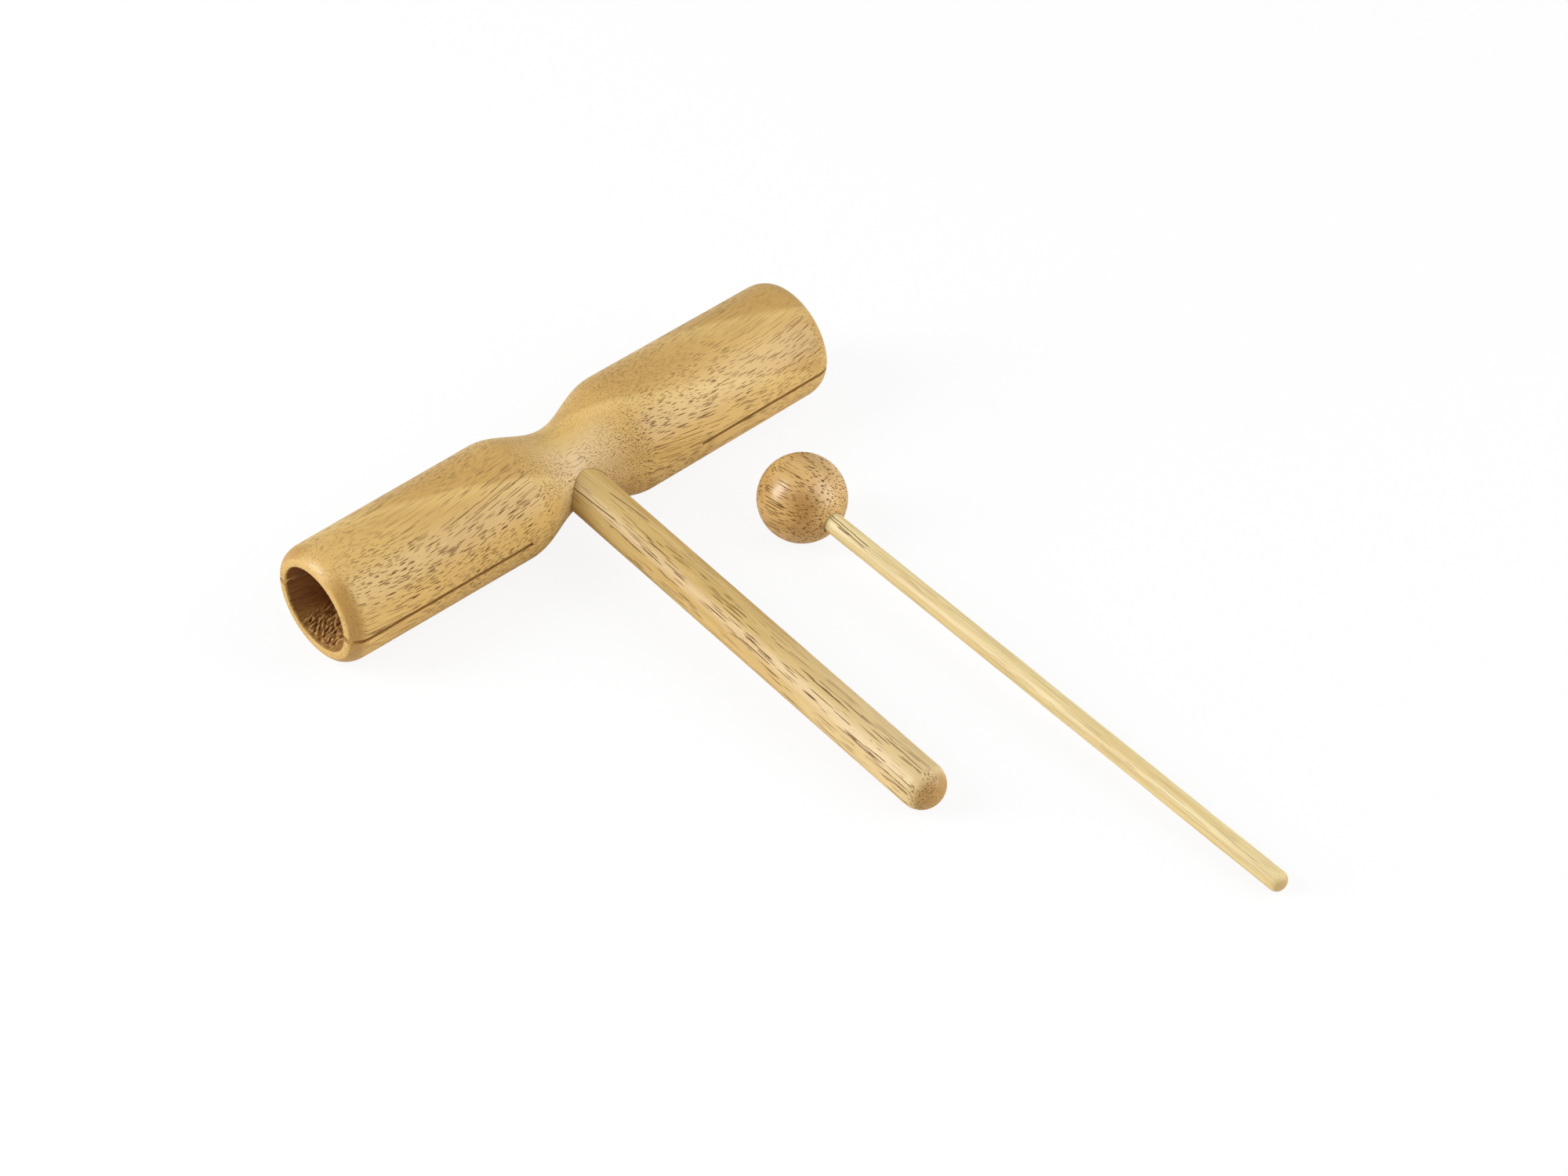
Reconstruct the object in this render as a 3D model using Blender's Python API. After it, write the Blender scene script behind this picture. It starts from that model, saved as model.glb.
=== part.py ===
"""Wooden two-tone block with a handle, and its loose beater, lying as they rest on a table.

The turned body has a round chamber bored into each end. A saw kerf runs along each chamber,
through both of its walls, and the shorter kerf gives the higher tone. A dowel handle is glued
into a socket across the waist. The beater is a wooden ball glued on a thin dowel.

Units are metres. +Z is up, the body's axis is X, and the handle points towards -Y.
The origin is on the table, under the middle of the set.
"""

import math

import bmesh
import bpy

# Turned body
BODY_LENGTH = 0.202
BARREL_DIAMETER = 0.042
WAIST_DIAMETER = 0.0282
WAIST_HALF_LENGTH = 0.0256

# Barrel ends: a little narrower than the shoulders, and rounded further along than across
BARREL_TAPER = 0.0005
END_ROUND_LENGTH = 0.0066
END_ROUND_DEPTH = 0.0040

# Chambers, one bored into each end, and the flat rim between bore and end round
BORE_DIAMETER = 0.0305
LOW_BORE_DEPTH = 0.0749
HIGH_BORE_DEPTH = 0.0599
BORE_CORNER_ROUND = 0.0015
LIP_ROUND = 0.0004
RIM_FLAT = 0.0018

# Saw kerfs, measured from the rim inwards
KERF_WIDTH = 0.0013
LOW_KERF_LENGTH = 0.0724
HIGH_KERF_LENGTH = 0.0574

# Handle dowel and the socket across the waist, measured from the waist's surface
HANDLE_DIAMETER = 0.016
HANDLE_LENGTH = 0.1885
HANDLE_END_ROUND = 0.0078
SOCKET_DEPTH = 0.020

# Beater: a ball with a blind hole, measured from the ball's surface, on a dowel
HEAD_DIAMETER = 0.030
HEAD_HOLE_DEPTH = 0.0175
STICK_DIAMETER = 0.0072
STICK_LENGTH = 0.220
STICK_END_ROUND = 0.0029

# Where the beater lies: its ball from the crossing of the body's and the handle's axes
HEAD_RIGHT = 0.0539
HEAD_FORWARD = 0.0584
STICK_YAW = math.radians(0.7)

# Space for glue round and below a seated dowel, and the small chamfer on its hidden end
SEAT_CLEARANCE = 0.0003
SEATED_END_CHAMFER = 0.0006

# Turns a dowel made along +X so that it points towards -Y
TOWARDS_HANDLE = (0.0, 0.0, -math.pi / 2)

# How finely round shapes are divided
BODY_SEGMENTS = 64
DOWEL_SEGMENTS = 40
STICK_SEGMENTS = 24
WAIST_STEPS = 20
END_ROUND_STEPS = 6
SMALL_ROUND_STEPS = 3
HEAD_STEPS = 18

# How far a cutter runs past the wall it cuts
CUT_MARGIN = 0.004

HALF_LENGTH = BODY_LENGTH / 2
BARREL_RADIUS = BARREL_DIAMETER / 2
WAIST_RADIUS = WAIST_DIAMETER / 2
BARREL_END_RADIUS = BARREL_RADIUS - BARREL_TAPER / 2
BORE_RADIUS = BORE_DIAMETER / 2
RIM_RADIUS = BORE_RADIUS + LIP_ROUND + RIM_FLAT
HANDLE_RADIUS = HANDLE_DIAMETER / 2
HEAD_RADIUS = HEAD_DIAMETER / 2
STICK_RADIUS = STICK_DIAMETER / 2

# A dowel's end is at most a full dome
HANDLE_END = min(HANDLE_END_ROUND, HANDLE_RADIUS)
STICK_END = min(STICK_END_ROUND, STICK_RADIUS)

# Distances along each dowel: from the body's axis to the handle's two ends, and from the
# ball's centre to the stick's two ends
SOCKET_BOTTOM = WAIST_RADIUS - SOCKET_DEPTH
HANDLE_START = SOCKET_BOTTOM + SEAT_CLEARANCE
HANDLE_REACH = HANDLE_START + HANDLE_LENGTH
HEAD_HOLE_BOTTOM = HEAD_RADIUS - HEAD_HOLE_DEPTH
STICK_START = HEAD_HOLE_BOTTOM + SEAT_CLEARANCE
STICK_REACH = STICK_START + STICK_LENGTH


def resting_tilt(axis_height, reach, radius, end_round):
    """Angle by which a dowel dips when its rounded end touches the table."""
    along = reach - end_round
    across = radius - end_round
    drop = axis_height - end_round
    return math.asin(drop / math.hypot(along, across)) - math.atan2(across, along)


HANDLE_TILT = resting_tilt(BARREL_RADIUS, HANDLE_REACH, HANDLE_RADIUS, HANDLE_END)
STICK_TILT = resting_tilt(HEAD_RADIUS, STICK_REACH, STICK_RADIUS, STICK_END)


def block_offset():
    """Distance of the body's axis behind the middle of the set, from the stick's far end."""
    end_centre = STICK_REACH - STICK_END
    end_corner = STICK_RADIUS - STICK_END
    forward = end_centre * math.cos(STICK_TILT) + end_corner * math.sin(STICK_TILT)
    front = HEAD_FORWARD + forward * math.cos(STICK_YAW) + STICK_END
    return (front - BARREL_RADIUS) / 2


def arc(centre_along, centre_radius, radius, start, end, steps):
    """Points (along, radius) of a circular arc between two angles in degrees."""
    points = []
    for step in range(steps + 1):
        angle = math.radians(start + (end - start) * step / steps)
        along = centre_along + radius * math.cos(angle)
        across = centre_radius + radius * math.sin(angle)
        points.append((along, across))
    return points


def lathe(name, profile, segments):
    """Object turned about its own X axis from points (along, radius) that start and end on it."""
    mesh = bpy.data.meshes.new(name)
    shape = bmesh.new()
    verts = [shape.verts.new((along, 0.0, radius)) for along, radius in profile]
    edges = [shape.edges.new(pair) for pair in zip(verts, verts[1:])]
    bmesh.ops.spin(
        shape,
        geom=verts + edges,
        cent=(0.0, 0.0, 0.0),
        axis=(1.0, 0.0, 0.0),
        angle=math.tau,
        steps=segments,
        use_merge=True,
    )
    bmesh.ops.remove_doubles(shape, verts=shape.verts, dist=1e-6)
    bmesh.ops.recalc_face_normals(shape, faces=shape.faces)
    shape.to_mesh(mesh)
    shape.free()
    mesh.shade_smooth()
    mesh.set_sharp_from_angle(angle=math.radians(35))
    piece = bpy.data.objects.new(name, mesh)
    bpy.context.collection.objects.link(piece)
    return piece


def empty(name, location, rotation):
    """Empty that carries the pieces of one rigid body."""
    carrier = bpy.data.objects.new(name, None)
    carrier.location = location
    carrier.rotation_euler = rotation
    bpy.context.collection.objects.link(carrier)
    return carrier


def box(name, low, high):
    """Axis-aligned box between two corners."""
    mesh = bpy.data.meshes.new(name)
    shape = bmesh.new()
    bmesh.ops.create_cube(shape, size=1.0)
    for vert in shape.verts:
        for axis in range(3):
            vert.co[axis] = low[axis] if vert.co[axis] < 0 else high[axis]
    shape.to_mesh(mesh)
    shape.free()
    piece = bpy.data.objects.new(name, mesh)
    bpy.context.collection.objects.link(piece)
    return piece


def cut(piece, cutter):
    """Cut a hidden tool shape out of a piece."""
    cutter.hide_render = True
    cutter.display_type = "WIRE"
    cutter.parent = piece.parent
    modifier = piece.modifiers.new(cutter.name, "BOOLEAN")
    modifier.operation = "DIFFERENCE"
    modifier.solver = "EXACT"
    modifier.object = cutter


def wood(piece, colour, roughness):
    """Give a piece its own lacquered wood."""
    material = bpy.data.materials.new(piece.name)
    material.use_nodes = True
    shader = material.node_tree.nodes["Principled BSDF"]
    shader.inputs["Base Color"].default_value = (*colour, 1.0)
    shader.inputs["Roughness"].default_value = roughness
    shader.inputs["Metallic"].default_value = 0.0
    piece.data.materials.append(material)


def chamber_profile(depth):
    """One end of the body: bore floor, bore wall, lip, flat rim and the broad round outside."""
    floor = HALF_LENGTH - depth
    corner_radius = BORE_RADIUS - BORE_CORNER_ROUND
    corner = arc(floor + BORE_CORNER_ROUND, corner_radius, BORE_CORNER_ROUND, 180, 90, SMALL_ROUND_STEPS)
    lip_radius = BORE_RADIUS + LIP_ROUND
    lip = arc(HALF_LENGTH - LIP_ROUND, lip_radius, LIP_ROUND, -90, 0, SMALL_ROUND_STEPS)
    return [(floor, 0.0), *corner, *lip, *end_round()]


def end_round():
    """Elliptic round from the rim's outer edge to the barrel."""
    centre_radius = BARREL_END_RADIUS - END_ROUND_DEPTH
    start = math.asin((RIM_RADIUS - centre_radius) / END_ROUND_DEPTH)
    centre_along = HALF_LENGTH - END_ROUND_LENGTH * math.cos(start)
    points = []
    for step in range(END_ROUND_STEPS + 1):
        angle = start + (math.pi / 2 - start) * step / END_ROUND_STEPS
        along = centre_along + END_ROUND_LENGTH * math.cos(angle)
        points.append((along, centre_radius + END_ROUND_DEPTH * math.sin(angle)))
    return points


def waist_profile():
    """Hollow of the hourglass: one wave of a cosine from barrel to barrel."""
    points = []
    for step in range(WAIST_STEPS + 1):
        share = 1 - 2 * step / WAIST_STEPS
        hollow = (BARREL_RADIUS - WAIST_RADIUS) * (1 + math.cos(math.pi * share)) / 2
        points.append((share * WAIST_HALF_LENGTH, BARREL_RADIUS - hollow))
    return points


def dowel_profile(start, reach, radius, end_round):
    """Dowel with a chamfered end that is seated and a rounded end that is free."""
    seated = [(start, 0.0), (start, radius - SEATED_END_CHAMFER), (start + SEATED_END_CHAMFER, radius)]
    free = arc(reach - end_round, radius - end_round, end_round, 90, 0, END_ROUND_STEPS)
    return [*seated, *free, (reach, 0.0)]


def head_profile():
    """Ball with a blind hole along its axis for the stick."""
    hole_radius = STICK_RADIUS + SEAT_CLEARANCE
    mouth = math.degrees(math.asin(hole_radius / HEAD_RADIUS))
    ball = arc(0.0, 0.0, HEAD_RADIUS, mouth, 180, HEAD_STEPS)
    ball[-1] = (-HEAD_RADIUS, 0.0)
    return [(HEAD_HOLE_BOTTOM, 0.0), (HEAD_HOLE_BOTTOM, hole_radius), *ball]


def kerf(name, side, length):
    """Saw cut through both walls of one chamber, open at the rim."""
    inner = side * (HALF_LENGTH - length)
    outer = side * (HALF_LENGTH + CUT_MARGIN)
    reach = BARREL_RADIUS + CUT_MARGIN
    half_width = KERF_WIDTH / 2
    low = (min(inner, outer), -reach, -half_width)
    high = (max(inner, outer), reach, half_width)
    return box(name, low, high)


def socket():
    """Blind round hole across the waist for the handle."""
    radius = HANDLE_RADIUS + SEAT_CLEARANCE
    mouth = BARREL_RADIUS + CUT_MARGIN
    profile = [(SOCKET_BOTTOM, 0.0), (SOCKET_BOTTOM, radius), (mouth, radius), (mouth, 0.0)]
    return lathe("socket_cutter", profile, DOWEL_SEGMENTS)


def make_body(carrier):
    """Turned hourglass, bored at both ends, sawn along both chambers and drilled for the handle."""
    near_end = [(-along, radius) for along, radius in reversed(chamber_profile(LOW_BORE_DEPTH))]
    profile = [*chamber_profile(HIGH_BORE_DEPTH), *waist_profile(), *near_end]
    body = lathe("block_body", profile, BODY_SEGMENTS)
    body.parent = carrier
    handle_socket = socket()
    handle_socket.rotation_euler = TOWARDS_HANDLE
    cut(body, kerf("low_kerf_cutter", -1, LOW_KERF_LENGTH))
    cut(body, kerf("high_kerf_cutter", 1, HIGH_KERF_LENGTH))
    cut(body, handle_socket)
    wood(body, (0.60, 0.40, 0.17), 0.42)


def make_handle(carrier):
    """Dowel handle with a domed free end."""
    profile = dowel_profile(HANDLE_START, HANDLE_REACH, HANDLE_RADIUS, HANDLE_END)
    handle = lathe("handle", profile, DOWEL_SEGMENTS)
    handle.parent = carrier
    handle.rotation_euler = TOWARDS_HANDLE
    wood(handle, (0.62, 0.42, 0.19), 0.40)


def make_beater(carrier):
    """Ball head and the stick seated in it."""
    head = lathe("beater_head", head_profile(), DOWEL_SEGMENTS)
    profile = dowel_profile(STICK_START, STICK_REACH, STICK_RADIUS, STICK_END)
    stick = lathe("beater_stick", profile, STICK_SEGMENTS)
    for piece in (head, stick):
        piece.parent = carrier
        piece.rotation_euler = TOWARDS_HANDLE
    wood(head, (0.52, 0.32, 0.13), 0.42)
    wood(stick, (0.70, 0.52, 0.27), 0.50)


for leftover in list(bpy.data.objects):
    bpy.data.objects.remove(leftover, do_unlink=True)

block_back = block_offset()
tone_block = empty("tone_block", (0.0, block_back, BARREL_RADIUS), (HANDLE_TILT, 0.0, 0.0))
beater_place = (HEAD_RIGHT, block_back - HEAD_FORWARD, HEAD_RADIUS)
beater = empty("beater", beater_place, (STICK_TILT, 0.0, STICK_YAW))
make_body(tone_block)
make_handle(tone_block)
make_beater(beater)
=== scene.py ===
"""Looks of a turned wooden tone block and its beater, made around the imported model.

Each piece is turned: a node tree spins its profile, and a second tree tears, saws and drills the
body. Lengths are in metres, and patterns in the wood are in millimetres.
"""

import math

import bpy
from mathutils import Euler, Matrix, Vector


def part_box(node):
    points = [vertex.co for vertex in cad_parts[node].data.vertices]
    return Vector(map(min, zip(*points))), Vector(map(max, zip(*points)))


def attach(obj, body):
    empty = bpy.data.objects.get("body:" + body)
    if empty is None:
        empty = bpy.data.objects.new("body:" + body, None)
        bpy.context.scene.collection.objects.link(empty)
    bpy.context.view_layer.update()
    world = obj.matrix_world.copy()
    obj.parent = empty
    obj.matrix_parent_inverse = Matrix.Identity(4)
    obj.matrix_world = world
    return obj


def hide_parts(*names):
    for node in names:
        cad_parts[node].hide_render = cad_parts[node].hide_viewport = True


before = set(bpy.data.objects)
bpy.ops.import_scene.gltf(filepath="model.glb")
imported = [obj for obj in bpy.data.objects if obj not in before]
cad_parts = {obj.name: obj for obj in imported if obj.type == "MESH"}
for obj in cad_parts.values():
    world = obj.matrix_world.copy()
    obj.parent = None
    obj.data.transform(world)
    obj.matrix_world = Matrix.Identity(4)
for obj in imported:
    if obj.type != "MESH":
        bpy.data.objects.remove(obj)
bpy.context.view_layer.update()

# Turned body, its chambers, kerfs and socket
BODY_LENGTH = 0.202
BARREL_RADIUS = 0.021
BARREL_END_RADIUS = 0.02075
WAIST_RADIUS = 0.0141
WAIST_HALF_LENGTH = 0.0256
END_ROUND_LENGTH = 0.0066
END_ROUND_DEPTH = 0.0040
BORE_RADIUS = 0.01525
LOW_BORE_DEPTH = 0.0749
HIGH_BORE_DEPTH = 0.0599
BORE_CORNER_ROUND = 0.0015
LIP_ROUND = 0.0004
RIM_FLAT = 0.0018
KERF_WIDTH = 0.0013
LOW_KERF_LENGTH = 0.0724
HIGH_KERF_LENGTH = 0.0574
SOCKET_DEPTH = 0.020
HALF_LENGTH = BODY_LENGTH / 2
RIM_RADIUS = BORE_RADIUS + LIP_ROUND + RIM_FLAT

# Dowels and ball
HANDLE_RADIUS = 0.008
HANDLE_LENGTH = 0.1885
HANDLE_END_ROUND = 0.0078
HEAD_RADIUS = 0.015
HEAD_HOLE_DEPTH = 0.0175
STICK_RADIUS = 0.0036
STICK_LENGTH = 0.220
STICK_END_ROUND = 0.0029
STICK_YAW = math.radians(0.7)
SEAT_CLEARANCE = 0.0003
SEATED_END_CHAMFER = 0.0006

# Glue line that shows round a seated dowel, and what sanding takes off a dowel's free end
GLUE_LINE = 0.00012
END_SANDING = 0.00006

# How finely the turned shapes and the saw blade are divided
SEGMENTS = 320
BLADE_COLUMNS = 110
BLADE_ROWS = 40
RING_STEP = 0.003
TORN_RING_STEP = 0.0004
TORN_REACH = 0.019
ROUND_STEP = 0.0004
SMOOTH_ANGLE = math.radians(35)
MERGE_DISTANCE = 1e-6

# Camera at the photograph's view
CAMERA_PLACE = (-0.70900, -0.78521, 1.07516)
CAMERA_TURN = (math.radians(90 - 43.87), 0.0, math.radians(-41.47))
CAMERA_LENS = 109.77
CAMERA_SENSOR = 36.0

# Torn grain in the bores, and the saw cuts
TEAR_DEPTH = 0.00032
TEAR_LENGTH = 0.0022
TEAR_WIDTH = 0.0007
TEAR_SLANT = math.radians(26)
TEAR_SIDE = Vector((0.0, 0.087, -0.996))
TEAR_FULL = 0.009
TEAR_EDGES = (0.82, 0.95)
KERF_FRAY = 0.00022
KERF_EASING = 0.00035
EASED_REACH = 0.004
FRAY_PITCH = (0.0016, 0.006, 0.004)
CUT_MARGIN = 0.004

# Turns that lay the grain, Z of the pattern along the wood's fibres, and how it swings and wanders
BODY_LEAN = (0.0, math.radians(90), math.radians(2.5))
SWING_TURN = math.radians(35)
SWING_HEIGHT = 3.5
SWING_LENGTH = 140.0
SWING_SHIFT = 5.0
GRAIN_RISE = -0.052
WANDER_PITCH = (9.0, 9.0, 24.0)
HANDLE_LEAN = (0.0, math.radians(91), math.radians(0.8))
HEAD_LEAN = (0.0, math.radians(81.5), math.radians(3.6))
STICK_LEAN = (0.0, math.radians(90.4), math.radians(0.3))
RIBBON_TURN = math.radians(48)
RIBBON_DEPTH = 3.6
# Plane of the ball's darker band: partly a growth layer, partly painted shade
BALL_LAYER_AND_SHADE = (0.66, 0.75, 0.0)

# Longest open vessels of the two dowels: both ends, as millimetres along and degrees round from Y
HANDLE_VESSELS = [((13, 138), (35, 129)), ((24, 89), (43, 73)), ((32.5, 149), (36, 147))]
STICK_VESSELS = [((13, 98), (34, 107)), ((13, 111), (33, 127)), ((18.5, 126), (26, 125))]
LONG_VESSEL_WIDTH = 0.36
LONG_VESSEL_WAVER = 0.35
LONG_VESSEL_START = 1.5
LONG_VESSEL_END = 2.5

# Vessels: how their widths spread about the given one, how sharp they are, and where they break
VESSEL_SLIMMEST = 0.6
VESSEL_SPREAD = 0.8
VESSEL_HEART = 0.75
VESSEL_ROWS = 97.0
VESSEL_BREAKS = (0.36, 0.48)

# Span in which noise mostly lies, then fibres, lacquer and end grain
NOISE_SPAN = (0.3, 0.7)
DARK_FIBRES = (0.50, 0.78)
PALE_FIBRES = (0.48, 0.22)
FIBRE_SHARE = 0.42
LACQUER_IOR = 1.45
BARE_ROUGHNESS = 0.9
END_GRAIN_DEPTH = 0.003
END_GRAIN_SHARE = 0.75

# Growth layers of the body: planes that lean and slant, one showing on top of each barrel
LAYER_ACROSS = Vector((0.40, 1.0, 0.61)).normalized()
LAYER_SPACING = 21.5
LAYER_WAVER = 0.12
LAYER_START = 15.5 / LAYER_SPACING + LAYER_WAVER / 2
LAYER_LAST = -1.3
BODY_TONES = [(0.0, "#CAA45E"), (0.3, "#D9B670"), (0.7, "#D3AE67"), (0.92, "#D9B670"), (1.0, "#CAA45E")]

# Light: two upright softboxes in a white tent, and a table that glows and fades into the white
LEFT_SOFTBOX = (-0.711, 0.524, 0.464)
RIGHT_SOFTBOX = (0.586, -0.682, 0.437)
SOFTBOX_AIM = (0.0, 0.0, 0.02)
SOFTBOX_DISTANCE = 1.4
LEFT_SIZE = (0.60, 1.20)
RIGHT_SIZE = (0.90, 1.60)
LEFT_STRENGTH = 18.5
RIGHT_STRENGTH = 12.0
FILL_SIDE = (0.68, -0.68, 0.25)
FILL_DIM = 0.30
FILL_BRIGHT = 0.90
FLOOR_GLOW = 0.88
GLOW_START = 0.45
GLOW_FULL = 1.0
FLOOR_HALF = 4.0

# Kinds of node that come up most, and plain names for the sockets of a Mix node that mixes colours
MATH = "ShaderNodeMath"
VECTOR_MATH = "ShaderNodeVectorMath"
MIX_SHARE = 0
MIX_FIRST = 6
MIX_SECOND = 7
MIX_RESULT = 2

MM = 0.001


def resting_tilt(axis_height, reach, radius, end_round):
    """Angle by which a dowel dips when its rounded end touches the table."""
    along = reach - end_round
    across = radius - end_round
    drop = axis_height - end_round
    return math.asin(drop / math.hypot(along, across)) - math.atan2(across, along)


SOCKET_BOTTOM = WAIST_RADIUS - SOCKET_DEPTH
HANDLE_START = SOCKET_BOTTOM + SEAT_CLEARANCE
HANDLE_REACH = HANDLE_START + HANDLE_LENGTH
HEAD_HOLE_BOTTOM = HEAD_RADIUS - HEAD_HOLE_DEPTH
STICK_START = HEAD_HOLE_BOTTOM + SEAT_CLEARANCE
STICK_REACH = STICK_START + STICK_LENGTH
HANDLE_TILT = resting_tilt(BARREL_RADIUS, HANDLE_REACH, HANDLE_RADIUS, HANDLE_END_ROUND)
STICK_TILT = resting_tilt(HEAD_RADIUS, STICK_REACH, STICK_RADIUS, STICK_END_ROUND)


def body_place():
    """Frame of the body: its middle, leaning with the handle."""
    low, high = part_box("block_body")
    return Matrix.Translation((low + high) / 2) @ Matrix.Rotation(HANDLE_TILT, 4, "X")


def beater_place():
    """Frame of the beater: the middle of its ball, leaning with the stick."""
    low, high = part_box("beater_head")
    middle = Vector(((low.x + high.x) / 2, high.y - HEAD_RADIUS, low.z + HEAD_RADIUS))
    return Matrix.Translation(middle) @ Euler((STICK_TILT, 0.0, STICK_YAW)).to_matrix().to_4x4()


# Frames of the four pieces, each with X along the axis that it was turned on
TOWARDS_HANDLE = Matrix.Rotation(-math.pi / 2, 4, "Z")
BODY_PLACE = body_place()
HANDLE_PLACE = BODY_PLACE @ TOWARDS_HANDLE
BEATER_PLACE = beater_place() @ TOWARDS_HANDLE


# Node helpers

def add_node(tree, kind, inputs=None, **settings):
    """Add a node, make its settings, and fill its inputs with values or links."""
    made = tree.nodes.new(kind)
    for name, value in settings.items():
        setattr(made, name, value)
    for key, value in (inputs or {}).items():
        sources = value if isinstance(value, list) else [value]
        for source in sources:
            if isinstance(source, bpy.types.NodeSocket):
                tree.links.new(source, made.inputs[key])
            else:
                made.inputs[key].default_value = source
    return made


def together(tree, first, *others):
    """Masks and shares multiplied into one mask."""
    whole = first
    for other in others:
        whole = add_node(tree, MATH, {0: whole, 1: other}, operation="MULTIPLY").outputs[0]
    return whole


def mask(tree, *limits):
    """Mask that is 1 where all values are past their limits, each as (value, none yet, all from here)."""
    steps = []
    for value, none_yet, all_here in limits:
        step = add_node(
            tree,
            "ShaderNodeMapRange",
            {"Value": value, "From Min": none_yet, "From Max": all_here},
            interpolation_type="SMOOTHSTEP",
        )
        steps.append(step.outputs["Result"])
    return together(tree, *steps)


# Profiles, as points (along, radius) from one end of the turning axis to the other

def stretch(start, end, step):
    """Points of a straight line in steps of about the given length, without its end."""
    count = max(1, round(math.dist(start, end) / step))
    points = []
    for index in range(count):
        share = index / count
        points.append((start[0] + (end[0] - start[0]) * share, start[1] + (end[1] - start[1]) * share))
    return points


def arc(centre_along, centre_radius, radius, start, end):
    """Points of a circular arc between two angles in degrees."""
    count = max(4, round(radius * math.radians(abs(end - start)) / ROUND_STEP))
    points = []
    for index in range(count + 1):
        angle = math.radians(start + (end - start) * index / count)
        points.append((centre_along + radius * math.cos(angle), centre_radius + radius * math.sin(angle)))
    return points


def chamber_profile(depth):
    """One end of the body: bore floor, bore wall, lip, flat rim and the broad round outside."""
    floor = HALF_LENGTH - depth
    torn = HALF_LENGTH - TORN_REACH
    corner = arc(floor + BORE_CORNER_ROUND, BORE_RADIUS - BORE_CORNER_ROUND, BORE_CORNER_ROUND, 180, 90)
    lip = arc(HALF_LENGTH - LIP_ROUND, BORE_RADIUS + LIP_ROUND, LIP_ROUND, -90, 0)
    return [
        *stretch((floor, 0.0), corner[0], RING_STEP),
        *corner[:-1],
        *stretch(corner[-1], (torn, BORE_RADIUS), RING_STEP),
        *stretch((torn, BORE_RADIUS), lip[0], TORN_RING_STEP),
        *lip,
        *end_round(),
    ]


def end_round():
    """Elliptic round from the rim's outer edge to the barrel."""
    centre_radius = BARREL_END_RADIUS - END_ROUND_DEPTH
    start = math.asin((RIM_RADIUS - centre_radius) / END_ROUND_DEPTH)
    centre_along = HALF_LENGTH - END_ROUND_LENGTH * math.cos(start)
    steps = round(END_ROUND_LENGTH / ROUND_STEP)
    points = []
    for step in range(steps + 1):
        angle = start + (math.pi / 2 - start) * step / steps
        along = centre_along + END_ROUND_LENGTH * math.cos(angle)
        points.append((along, centre_radius + END_ROUND_DEPTH * math.sin(angle)))
    return points


def body_profile():
    """Bored hourglass: chamber, barrel, one wave of a cosine for the waist, barrel, chamber."""
    waist = []
    waist_steps = round(2 * WAIST_HALF_LENGTH / (RING_STEP / 2))
    for step in range(waist_steps + 1):
        share = 1 - 2 * step / waist_steps
        hollow = (BARREL_RADIUS - WAIST_RADIUS) * (1 + math.cos(math.pi * share)) / 2
        waist.append((share * WAIST_HALF_LENGTH, BARREL_RADIUS - hollow))
    far_end = chamber_profile(HIGH_BORE_DEPTH)
    near_end = [(-along, radius) for along, radius in reversed(chamber_profile(LOW_BORE_DEPTH))]
    far_barrel = stretch(far_end[-1], waist[0], RING_STEP)[1:]
    near_barrel = stretch(waist[-1], near_end[0], RING_STEP)[1:]
    return [*far_end, *far_barrel, *waist, *near_barrel, *near_end]


def dowel_profile(start, reach, radius, end_round, step):
    """Dowel with a chamfered end that is seated and a rounded end that is free."""
    shoulder = start + SEATED_END_CHAMFER
    tip_at = reach - END_SANDING
    free = arc(tip_at - end_round, radius - end_round, end_round, 90, 0)
    tip = [(tip_at, 0.0)] if free[-1][1] > MERGE_DISTANCE else []
    return [
        *stretch((start, 0.0), (start, radius - SEATED_END_CHAMFER), radius / 4),
        (start, radius - SEATED_END_CHAMFER),
        *stretch((shoulder, radius), free[0], step),
        *free,
        *tip,
    ]


def head_profile():
    """Ball with a blind hole along its axis for the stick."""
    hole_radius = STICK_RADIUS + GLUE_LINE
    mouth = math.asin(hole_radius / HEAD_RADIUS)
    ball = arc(0.0, 0.0, HEAD_RADIUS, math.degrees(mouth), 180)
    ball[-1] = (-HEAD_RADIUS, 0.0)
    floor = (HEAD_HOLE_BOTTOM, hole_radius)
    return [
        *stretch((HEAD_HOLE_BOTTOM, 0.0), floor, hole_radius / 4),
        *stretch(floor, ball[0], RING_STEP),
        *ball,
    ]


# Geometry trees

def new_geometry_tree(name, sizes):
    """Geometry tree with named number inputs, and the sockets that give them."""
    tree = bpy.data.node_groups.new(name, "GeometryNodeTree")
    tree.interface.new_socket("Geometry", in_out="INPUT", socket_type="NodeSocketGeometry")
    for label in sizes:
        kind = "NodeSocketInt" if label == "Segments" else "NodeSocketFloat"
        tree.interface.new_socket(label, in_out="INPUT", socket_type=kind)
    tree.interface.new_socket("Material", in_out="INPUT", socket_type="NodeSocketMaterial")
    tree.interface.new_socket("Geometry", in_out="OUTPUT", socket_type="NodeSocketGeometry")
    return tree, tree.nodes.new("NodeGroupInput").outputs


def end_geometry_tree(tree, given, geometry):
    """Close a tree: real mesh, material, output."""
    real = add_node(tree, "GeometryNodeRealizeInstances", {"Geometry": geometry})
    finish = {"Geometry": real.outputs[0], "Material": given["Material"]}
    covered = add_node(tree, "GeometryNodeSetMaterial", finish)
    add_node(tree, "NodeGroupOutput", {"Geometry": covered.outputs[0]})


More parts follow.
